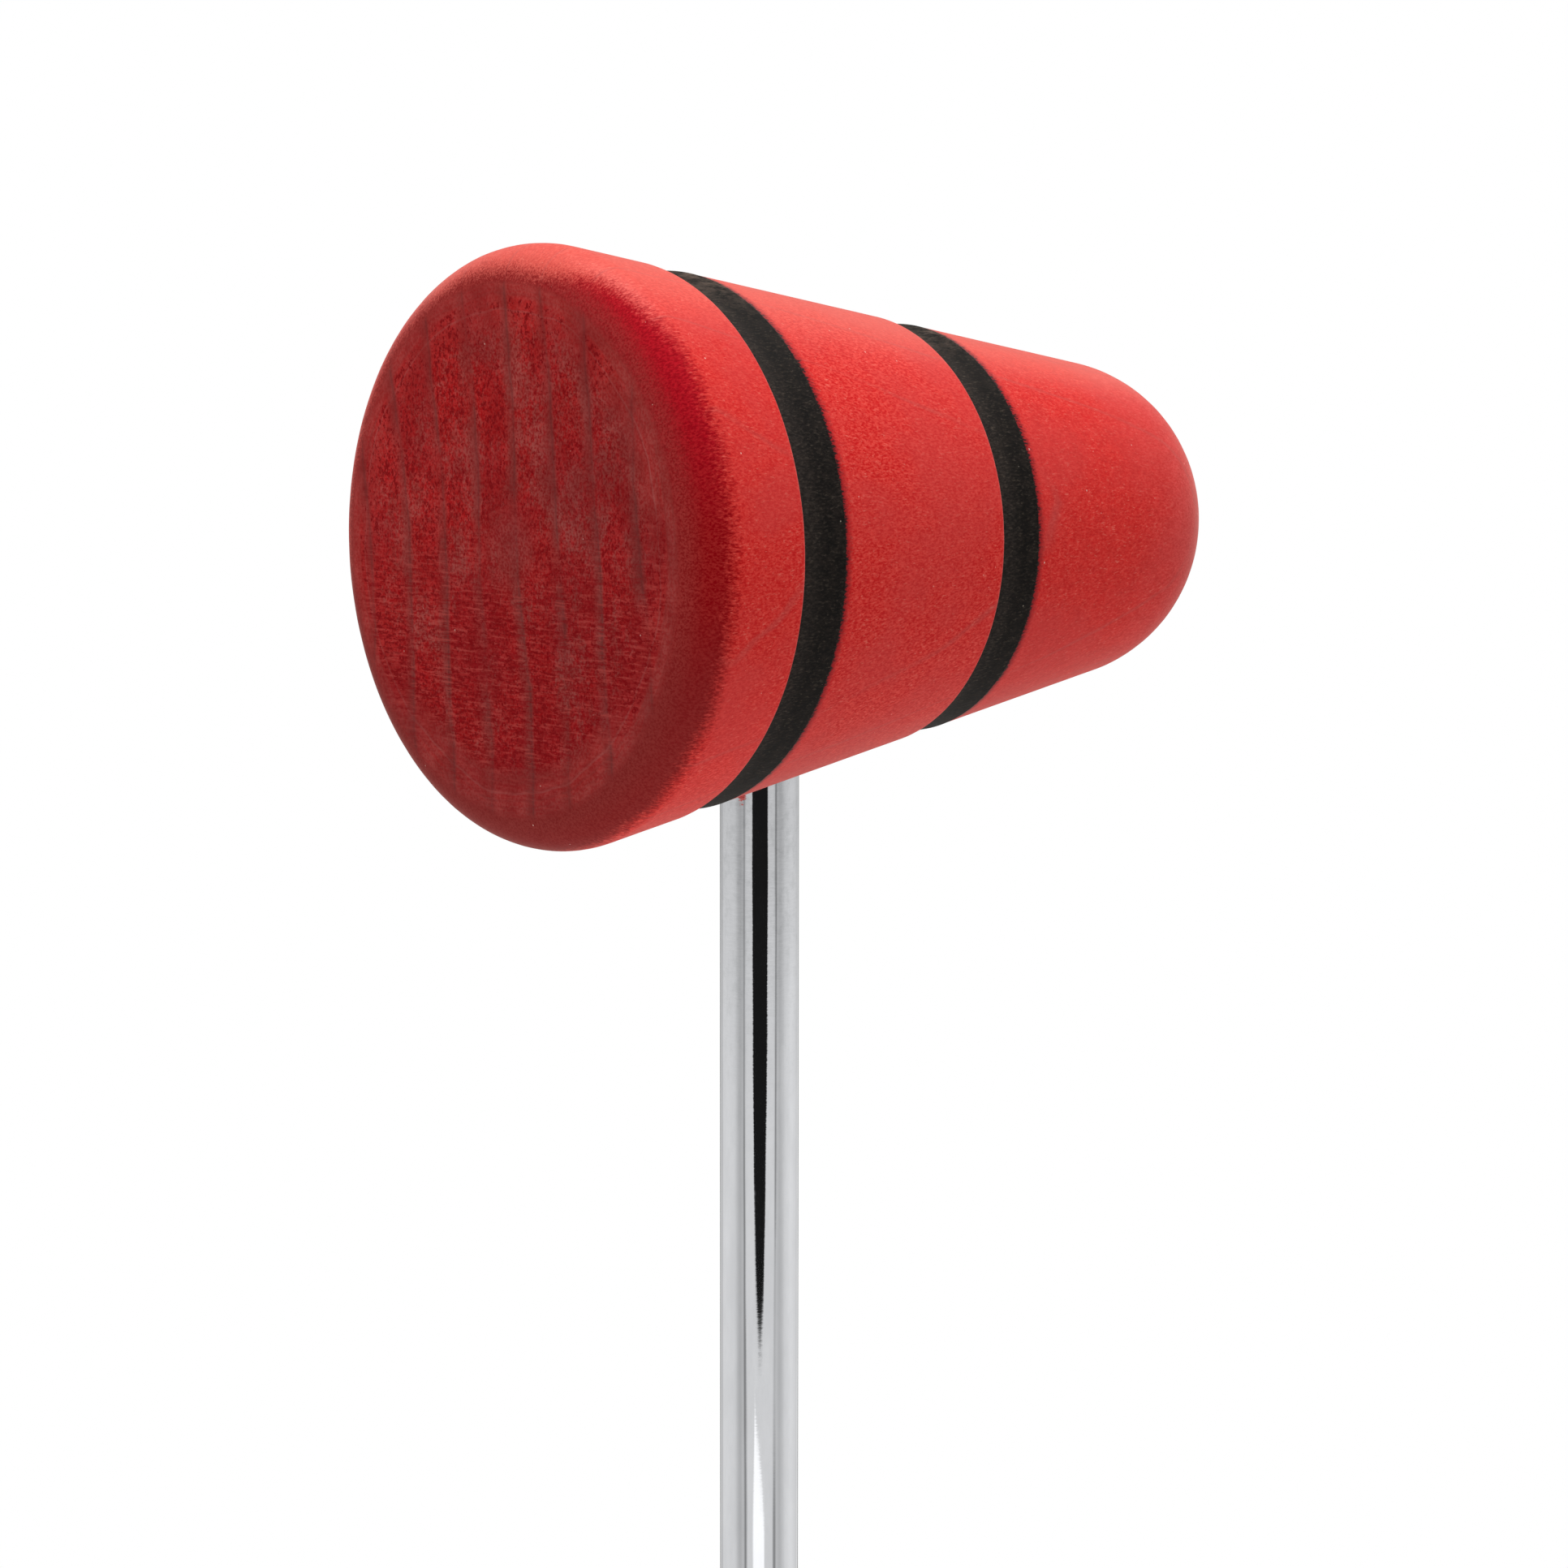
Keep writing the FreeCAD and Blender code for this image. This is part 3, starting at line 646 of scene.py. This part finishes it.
def dyed_maple():
    """Red dye on sanded maple. The colour follows the outline: brownish end grain on the face, a deep
    zone where the rounding cuts the fibres, and bright, napped sides."""
    material, tree = material_and_tree("dyed_maple")
    place = millimetres(tree, head_centre)
    x, y, z = add(tree, "ShaderNodeSeparateXYZ", {0: place}).outputs
    out = distance_out(tree, x, z)
    napped = add(tree, "ShaderNodeGroup", {"Place": place}, node_tree=nap).outputs
    tufts, fibres, clouds = napped["Tufts"], napped["Fibres"], napped["Clouds"]
    band, line = growth_rings(tree, place, x, z)
    face_colour, face_depth = striking_face(tree, place, x, z, out, band, line)

    turned = round_the_edge(tree, y, out)
    ragged = around(tree, reckon(tree, "ADD", fibres, around(tree, tufts, 1.0)), 0.34)
    patchy = around(tree, noise(tree, place, (0.10, 0.10, 0.10)), 0.35)
    upper_left = reckon(tree, "DIVIDE", towards_side(tree, x, z, -0.64, 0.77), out)
    sanded_more = ease(tree, upper_left, 0.0, 0.8, 0.0, 0.55)
    uneven = reckon(tree, "ADD", reckon(tree, "ADD", ragged, patchy), sanded_more)
    on_side = ease(tree, reckon(tree, "ADD", turned, uneven), 0.66, 0.98)
    deepened_from = reckon(tree, "ADD", turned, around(tree, tufts, 0.12))
    first_half = ease(tree, deepened_from, 0.05, 0.16, 0.0, 0.5)
    second_half = ease(tree, deepened_from, 0.20, 0.52, 0.0, 0.5)
    deepest = ease(tree, z, -20.0, 0.0, 0.45, 1.0)
    deepening = reckon(tree, "MULTIPLY", reckon(tree, "ADD", first_half, second_half), deepest)

    rim = blend(tree, ease(tree, tufts, 0.38, 0.60), (0.235, 0.014, 0.013), (0.365, 0.054, 0.046))
    darker_rim = blend(tree, ease(tree, z, -2.0, -16.0, 0.0, 0.45), rim, (0.190, 0.022, 0.019))
    rimmed = blend(tree, ease(tree, turned, 0.03, 0.20), face_colour, darker_rim)
    deepened = blend(tree, deepening, rimmed, deep_edge(tree, x, z, out, tufts, fibres))
    steepness = reckon(tree, "DIVIDE", z, reckon(tree, "MAXIMUM", out, tail_rounding * MM))
    bright_side = napped_side(tree, place, y, steepness, tufts, fibres, clouds)
    side = blend(tree, reckon(tree, "MULTIPLY", line, 0.30), bright_side, (0.400, 0.075, 0.066))
    wood = blend(tree, on_side, deepened, side)
    painted = crept_paint(tree, place, y, steepness, tufts, fibres, wood)
    speck = reckon(tree, "MULTIPLY", specks_of_dust(tree, place, 1.7, 0.11), 0.7)
    colour = blend(tree, speck, painted, (0.74, 0.42, 0.36))

    side_height = reckon(tree, "ADD", tufts, reckon(tree, "MULTIPLY", fibres, 0.6))
    height = between(tree, on_side, face_depth, side_height)
    bump = add(tree, "ShaderNodeBump", {"Height": height, "Distance": NAP_HEIGHT, "Strength": 0.42})
    fuzz = reckon(tree, "MULTIPLY", on_side, ease(tree, steepness, 0.62, 1.0, 0.11, 0.50))
    shader = add(
        tree,
        "ShaderNodeBsdfPrincipled",
        {
            "Base Color": colour,
            "Roughness": 0.75,
            "Specular IOR Level": 0.03,
            "Coat Weight": fuzz,
            "Coat Roughness": 0.5,
            "Sheen Weight": 0.25,
            "Sheen Roughness": 0.30,
            "Sheen Tint": (1.0, 0.80, 0.70, 1.0),
            "Normal": bump.outputs[0],
        },
    )
    finish_with(tree, shader)
    return material


maple = dyed_maple()
head = turn(
    "turned_head", head_corners(), maple, HEAD_STEPS, HEAD_STEP_ALONG, ALONG_HEAD, head_centre, GRAIN_RELIEF
)
hole_radius = glue_high.x
mouth_radius = rod_high.x + MOUTH_RELIEF
drill_end = glue_high.z + hole_radius / math.tan(DRILL_POINT / 2)
below_head = head_low.z - FACE_ROUNDING
drill_corners = [
    (0, below_head, 0),
    (mouth_radius, below_head, 0),
    (mouth_radius, glue_low.z, 0),
    (hole_radius, glue_low.z, 0),
    (hole_radius, glue_high.z, 0),
    (0, drill_end, 0),
]
drill = turn("drill", drill_corners, maple, DRILL_STEPS, DRILL_STEP_ALONG)
drilling = head.modifiers.new("drilling", "BOOLEAN")
drilling.object = drill
drilling.operation = "DIFFERENCE"
drilling.solver = "EXACT"
made_plain(head)
bpy.data.objects.remove(drill)
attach(head, "root")
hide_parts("head")


# The bands: black paint brushed into the two grooves while the head turned. The coat lies on the
# groove's floor and front wall, and the nap of the wood shows through it.
def black_paint():
    """Dull black paint over napped wood, greyer where dry fibres stand through it. A painted sheen greys
    the coat in clumps towards the top of each band, most near its edges.
    """
    material, tree = material_and_tree("black_paint")
    place = millimetres(tree, head_centre)
    napped = add(tree, "ShaderNodeGroup", {"Place": place}, node_tree=nap).outputs
    tufts, fibres = napped["Tufts"], napped["Fibres"]
    x, y, z = add(tree, "ShaderNodeSeparateXYZ", {0: place}).outputs
    out = distance_out(tree, x, z)
    on_rear_band = reckon(tree, "GREATER_THAN", y, 0.0)
    to_rear_band = reckon(tree, "MULTIPLY", on_rear_band, (rear_low.y - front_low.y) * MM)
    from_wall = reckon(tree, "SUBTRACT", reckon(tree, "SUBTRACT", y, front_low.y * MM), to_rear_band)
    full_coat = blend(tree, ease(tree, tufts, 0.38, 0.62), (0.004, 0.0032, 0.0028), (0.011, 0.0088, 0.0075))
    thin_coat = blend(tree, ease(tree, tufts, 0.38, 0.62), (0.014, 0.0110, 0.0095), (0.033, 0.0260, 0.0225))
    coat = blend(tree, ease(tree, from_wall, 1.2, 3.8, 0.75, 0.0), full_coat, thin_coat)
    standing = ease(tree, reckon(tree, "ADD", tufts, around(tree, fibres, 0.5)), 0.54, 0.80, 0.0, 0.45)
    # Painted sheen: the coat turns greyer towards the top of each band, in clumps, and more so near its
    # edges.
    top_sheen = ease(tree, reckon(tree, "DIVIDE", z, out), 0.83, 1.0, 0.08, 0.90)
    clumps = noise(tree, place, (1.1, 0.7, 1.1), 3.0, 0.58, 23.0)
    clumped = ease(tree, reckon(tree, "ADD", clumps, around(tree, tufts, 0.35)), 0.34, 0.72)
    near_edges = reckon(
        tree,
        "MAXIMUM",
        ease(tree, from_wall, 1.3, 3.2, 1.0, 0.55),
        ease(tree, from_wall, 3.4, 5.0, 0.55, 1.0),
    )
    top_sheen_near_edges = reckon(tree, "MULTIPLY", top_sheen, near_edges)
    clumped_top_sheen = reckon(tree, "MULTIPLY", clumped, top_sheen_near_edges)
    coat_with_top_sheen = blend(tree, clumped_top_sheen, coat, (0.098, 0.068, 0.053))
    fibred = blend(tree, standing, coat_with_top_sheen, (0.092, 0.074, 0.057))
    speck = reckon(tree, "MULTIPLY", specks_of_dust(tree, place, 2.2, 0.10), 0.6)
    colour = blend(tree, speck, fibred, (0.34, 0.30, 0.24))
    roughness = ease(tree, tufts, 0.3, 0.7, 0.6, 0.8)
    height = reckon(tree, "ADD", tufts, fibres)
    bump = add(tree, "ShaderNodeBump", {"Height": height, "Distance": NAP_HEIGHT, "Strength": 0.5})
    shader = add(
        tree,
        "ShaderNodeBsdfPrincipled",
        {
            "Base Color": colour,
            "Roughness": roughness,
            "Specular IOR Level": 0.06,
            "Sheen Weight": 0.045,
            "Sheen Roughness": 0.35,
            "Sheen Tint": (1.0, 0.84, 0.70, 1.0),
            "Normal": bump.outputs[0],
        },
    )
    finish_with(tree, shader)
    return material


paint = black_paint()


def band_corners(low, high):
    """Half the section of a band's coat: up the front wall, along the floor and level at the far edge."""
    lip, far_edge = low.y, high.y
    coat_top = cone_radius(far_edge)
    coat_floor = coat_top - PAINT_FILM
    inside = lip + PAINT_FILM
    return [
        (coat_floor, lip, 0),
        (high.x, lip, 0),
        (high.x, inside, 0),
        (coat_top, inside, PAINT_FILM / 2),
        (coat_top, far_edge, 0),
        (coat_floor, far_edge, 0),
        (coat_floor, lip, 0),
    ]


for name, low, high in (("front_paint", front_low, front_high), ("rear_paint", rear_low, rear_high)):
    coat = turn(name, band_corners(low, high), paint, HEAD_STEPS, HEAD_STEP_ALONG, ALONG_HEAD, head_centre)
    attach(coat, "root")
    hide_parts(name.replace("paint", "band"))

# The studio: a pale round table under the beater, a white tent round it with a soft panel overhead, and
# a dark gap in the tent where the camera looks in.
CAMERA_AZIMUTH = 49.943
CAMERA_ELEVATION = 4.064
TABLE_RADIUS = 0.30
TABLE_OPENING = rod_high.x - ROD_CHAMFER
TABLE_STEPS = 96
FADE_START = 0.10
FADE_END = 0.28
PALE_GREY = (0.86, 0.86, 0.86, 1)
table = bpy.data.objects.new("table", bpy.data.meshes.new("table"))
rim_points = []
for radius in (TABLE_OPENING, TABLE_RADIUS):
    for step in range(TABLE_STEPS):
        angle = math.tau * step / TABLE_STEPS
        rim_points.append((radius * math.cos(angle), radius * math.sin(angle), 0))
sectors = []
for step in range(TABLE_STEPS):
    following = (step + 1) % TABLE_STEPS
    sectors.append((step, TABLE_STEPS + step, TABLE_STEPS + following, following))
table.data.from_pydata(rim_points, [], sectors)
bpy.context.scene.collection.objects.link(table)

table_finish, tree = material_and_tree("pale_table")
place = add(tree, "ShaderNodeTexCoord").outputs["Object"]
from_rod = add(tree, "ShaderNodeVectorMath", {0: place}, operation="LENGTH").outputs["Value"]
near_edge = ease(tree, from_rod, FADE_START, FADE_END)
path = add(tree, "ShaderNodeLightPath").outputs
seen = reckon(tree, "MAXIMUM", path["Is Camera Ray"], path["Is Transmission Ray"])
fading_white = reckon(tree, "MULTIPLY", near_edge, seen)
fading_away = reckon(tree, "MULTIPLY", near_edge, path["Is Glossy Ray"])
pale = add(tree, "ShaderNodeBsdfDiffuse", {"Color": PALE_GREY}).outputs[0]
clear = add(tree, "ShaderNodeBsdfTransparent").outputs[0]
white = add(tree, "ShaderNodeEmission", {"Color": (1, 1, 1, 1), "Strength": 1.0}).outputs[0]
mirrored_table = add(tree, "ShaderNodeMixShader", {0: fading_away, 1: pale, 2: clear}).outputs[0]
table_top = add(tree, "ShaderNodeMixShader", {0: fading_white, 1: mirrored_table, 2: white}).outputs[0]
from_under = reckon(tree, "MULTIPLY", add(tree, "ShaderNodeNewGeometry").outputs["Backfacing"], seen)
finish_with(tree, add(tree, "ShaderNodeMixShader", {0: from_under, 1: table_top, 2: clear}))
table.data.materials.append(table_finish)

# The tent's cloth is dimmer where its panels turn away and darker still at its two seams: degrees
# round from the camera, how far a shade reaches, and how deep it is.
TENT_TONE = 0.87
TENT_SHADES = [
    (-57, 24, 0.28),
    (62, 24, 0.24),
    (-146, 18, 0.27),
    (144, 14, 0.08),
    (108, 30, -0.10),
    (-108, 30, -0.04),
]
LEFT_SEAM = -45.0
LEFT_SEAM_LOW = -40.5
RIGHT_SEAM = 49.5
RIGHT_SEAM_LOW = 45.5
SEAM_REACH = 5.5
SEAM_REACH_LOW = 8.0
BACK_GAP = 163
BACK_GAP_FOOT = -26.0
BACK_GAP_SILL = -20.0
GAP_TONE = 0.012
GAP_MIDDLE = 2.0
GAP_HALF_WIDTH = 22.0
GAP_LEVEL = -7.2
GAP_DROP = 5.9
GLOW_TOP = -13.7
GLOW_FOOT = -15.5

world = bpy.data.worlds.new("tent")
bpy.context.scene.world = world
world.use_nodes = True
tree = world.node_tree
tree.nodes.clear()
azimuth = math.radians(CAMERA_AZIMUTH)
direction = add(tree, "ShaderNodeTexCoord").outputs["Generated"]
to_camera = (math.sin(azimuth), -math.cos(azimuth), 0)
to_right = (math.cos(azimuth), math.sin(azimuth), 0)
forward = add(tree, "ShaderNodeVectorMath", {0: direction, 1: to_camera}, operation="DOT_PRODUCT")
sidelong = add(tree, "ShaderNodeVectorMath", {0: direction, 1: to_right}, operation="DOT_PRODUCT")
towards, aside = forward.outputs["Value"], sidelong.outputs["Value"]
upward = add(tree, "ShaderNodeSeparateXYZ", {0: direction}).outputs[2]
degrees_round = reckon(tree, "DEGREES", reckon(tree, "ARCTAN2", aside, towards))
degrees_up = reckon(tree, "DEGREES", reckon(tree, "ARCSINE", upward))
tone = TENT_TONE
for bearing, reach, depth in TENT_SHADES:
    away = reckon(tree, "ABSOLUTE", reckon(tree, "SUBTRACT", degrees_round, bearing))
    tone = reckon(tree, "SUBTRACT", tone, ease(tree, away, 0.0, reach, depth, 0.0))
left_seam = ease(tree, degrees_up, -11.0, -15.5, LEFT_SEAM, LEFT_SEAM_LOW)
right_seam = ease(tree, degrees_up, -11.0, -14.5, RIGHT_SEAM, RIGHT_SEAM_LOW)
left_depth = ease(tree, degrees_up, -7.0, -15.0, 0.28, 0.50)
right_depth = reckon(
    tree,
    "ADD",
    ease(tree, degrees_up, -11.4, -12.7, 0.42, 0.18),
    ease(tree, degrees_up, -13.8, -15.6, 0.0, 0.32),
)
seam_reach = ease(tree, degrees_up, -12.0, -15.0, SEAM_REACH, SEAM_REACH_LOW)
for seam, seam_depth in ((left_seam, left_depth), (right_seam, right_depth)):
    away = reckon(tree, "ABSOLUTE", reckon(tree, "SUBTRACT", degrees_round, seam))
    stitched = ease(tree, away, 0.0, seam_reach, 1.0, 0.0)
    tone = reckon(tree, "SUBTRACT", tone, reckon(tree, "MULTIPLY", stitched, seam_depth))
behind = reckon(tree, "GREATER_THAN", reckon(tree, "ABSOLUTE", degrees_round), BACK_GAP)
in_back_gap = reckon(tree, "MULTIPLY", behind, ease(tree, degrees_up, BACK_GAP_FOOT, BACK_GAP_SILL))
below_level = reckon(tree, "MAXIMUM", reckon(tree, "SUBTRACT", GAP_LEVEL, degrees_up), 0.0)
drop = reckon(tree, "DIVIDE", below_level, GAP_DROP)
sideways = reckon(tree, "DIVIDE", reckon(tree, "SUBTRACT", degrees_round, GAP_MIDDLE), GAP_HALF_WIDTH)
gap_reach = reckon(
    tree,
    "SQRT",
    reckon(tree, "ADD", reckon(tree, "POWER", drop, 2.5), reckon(tree, "MULTIPLY", sideways, sideways)),
)
in_gap = ease(tree, gap_reach, 0.98, 1.09, 1.0, 0.0)
nearer_table = ease(tree, degrees_up, -6.0, -11.0, 0.80, 1.0)
overhead = ease(tree, degrees_up, 5.0, 45.0, 0.0, 0.3)
tent_tone = reckon(tree, "MULTIPLY", tone, reckon(tree, "ADD", nearer_table, overhead))
in_any_gap = reckon(tree, "MAXIMUM", in_gap, in_back_gap)
gap_tone = between(tree, in_any_gap, tent_tone, GAP_TONE)
glow_middle = ease(tree, degrees_up, GLOW_TOP, GLOW_FOOT, -13.0, -1.0)
glow_half_width = ease(tree, degrees_up, GLOW_TOP, GLOW_FOOT, 0.5, 19.0)
from_glow = reckon(tree, "ABSOLUTE", reckon(tree, "SUBTRACT", degrees_round, glow_middle))
inside_glow = reckon(tree, "DIVIDE", reckon(tree, "SUBTRACT", glow_half_width, from_glow), 4.0, clamp=True)
glow = reckon(tree, "MULTIPLY", inside_glow, ease(tree, degrees_up, GLOW_TOP + 0.2, GLOW_TOP - 0.4))
mirrored = reckon(tree, "ADD", gap_tone, reckon(tree, "MULTIPLY", glow, 0.55))

from_above = ease(tree, upward, -0.2, 1.0, 0.54, 0.76)
from_below = ease(tree, upward, -1.0, -0.2, 0.65, 0.0)
soft_light = reckon(tree, "ADD", from_above, from_below)
path = add(tree, "ShaderNodeLightPath").outputs
lit_tone = between(tree, path["Is Glossy Ray"], soft_light, mirrored)
lit = add(tree, "ShaderNodeCombineXYZ", {0: lit_tone, 1: lit_tone, 2: lit_tone}).outputs[0]
background = reckon(tree, "MAXIMUM", path["Is Camera Ray"], path["Is Transmission Ray"])
tent_colour = blend(tree, background, lit, (1.0, 1.0, 1.0))
tent = add(tree, "ShaderNodeBackground", {"Color": tent_colour, "Strength": 1.0})
add(tree, "ShaderNodeOutputWorld", {"Surface": tent.outputs[0]})

# One soft square panel hangs above the tail and faces the head, so that the top of the cone is its
# brightest part and its sides fall off gently towards the underside.
PANEL_PLACE = Vector((0.035, 0.06, 0.80))
PANEL_SIZE = 0.45
PANEL_POWER = 3.95
lamp = bpy.data.lights.new("top_panel", "AREA")
lamp.shape = "SQUARE"
lamp.size = PANEL_SIZE
lamp.energy = PANEL_POWER
panel = bpy.data.objects.new("top_panel", lamp)
bpy.context.scene.collection.objects.link(panel)
panel.location = PANEL_PLACE
panel.rotation_euler = (head_centre - PANEL_PLACE).to_track_quat("-Z", "Y").to_euler()

# The camera stands where the photograph was taken from, half a metre off and a little above the head.
CAMERA_DISTANCE = 0.4999
CAMERA_ROLL = 0.038
PHOTO_SIDE = 1932
FOCAL_PIXELS = 6160.1
HEAD_PIXEL = (935.86, 660.27)
SENSOR_WIDTH = 36.0
NEAREST_SEEN = 0.01
FARTHEST_SEEN = 20.0
elevation = math.radians(CAMERA_ELEVATION)
level = math.cos(elevation)
back = Vector((math.sin(azimuth) * level, -math.cos(azimuth) * level, math.sin(elevation)))
right = (-back).cross(Vector((0, 0, 1))).normalized()
up = right.cross(-back)
straight = Matrix((right, up, back)).transposed()
middle = PHOTO_SIDE / 2
head_right, head_up = HEAD_PIXEL[0] - middle, middle - HEAD_PIXEL[1]
sight = Vector((head_right / FOCAL_PIXELS, head_up / FOCAL_PIXELS, -1)).normalized()
aim = sight.rotation_difference(Vector((0, 0, -1))).to_matrix()
turned = straight @ Matrix.Rotation(math.radians(CAMERA_ROLL), 3, "Z") @ aim
lens = bpy.data.cameras.new("camera")
lens.sensor_width = SENSOR_WIDTH
lens.lens = FOCAL_PIXELS / PHOTO_SIDE * SENSOR_WIDTH
lens.clip_start = NEAREST_SEEN
lens.clip_end = FARTHEST_SEEN
camera = bpy.data.objects.new("camera", lens)
camera.matrix_world = Matrix.Translation(head_centre + back * CAMERA_DISTANCE) @ turned.to_4x4()
bpy.context.scene.collection.objects.link(camera)
bpy.context.scene.camera = camera
bpy.context.scene.view_settings.view_transform = "Standard"
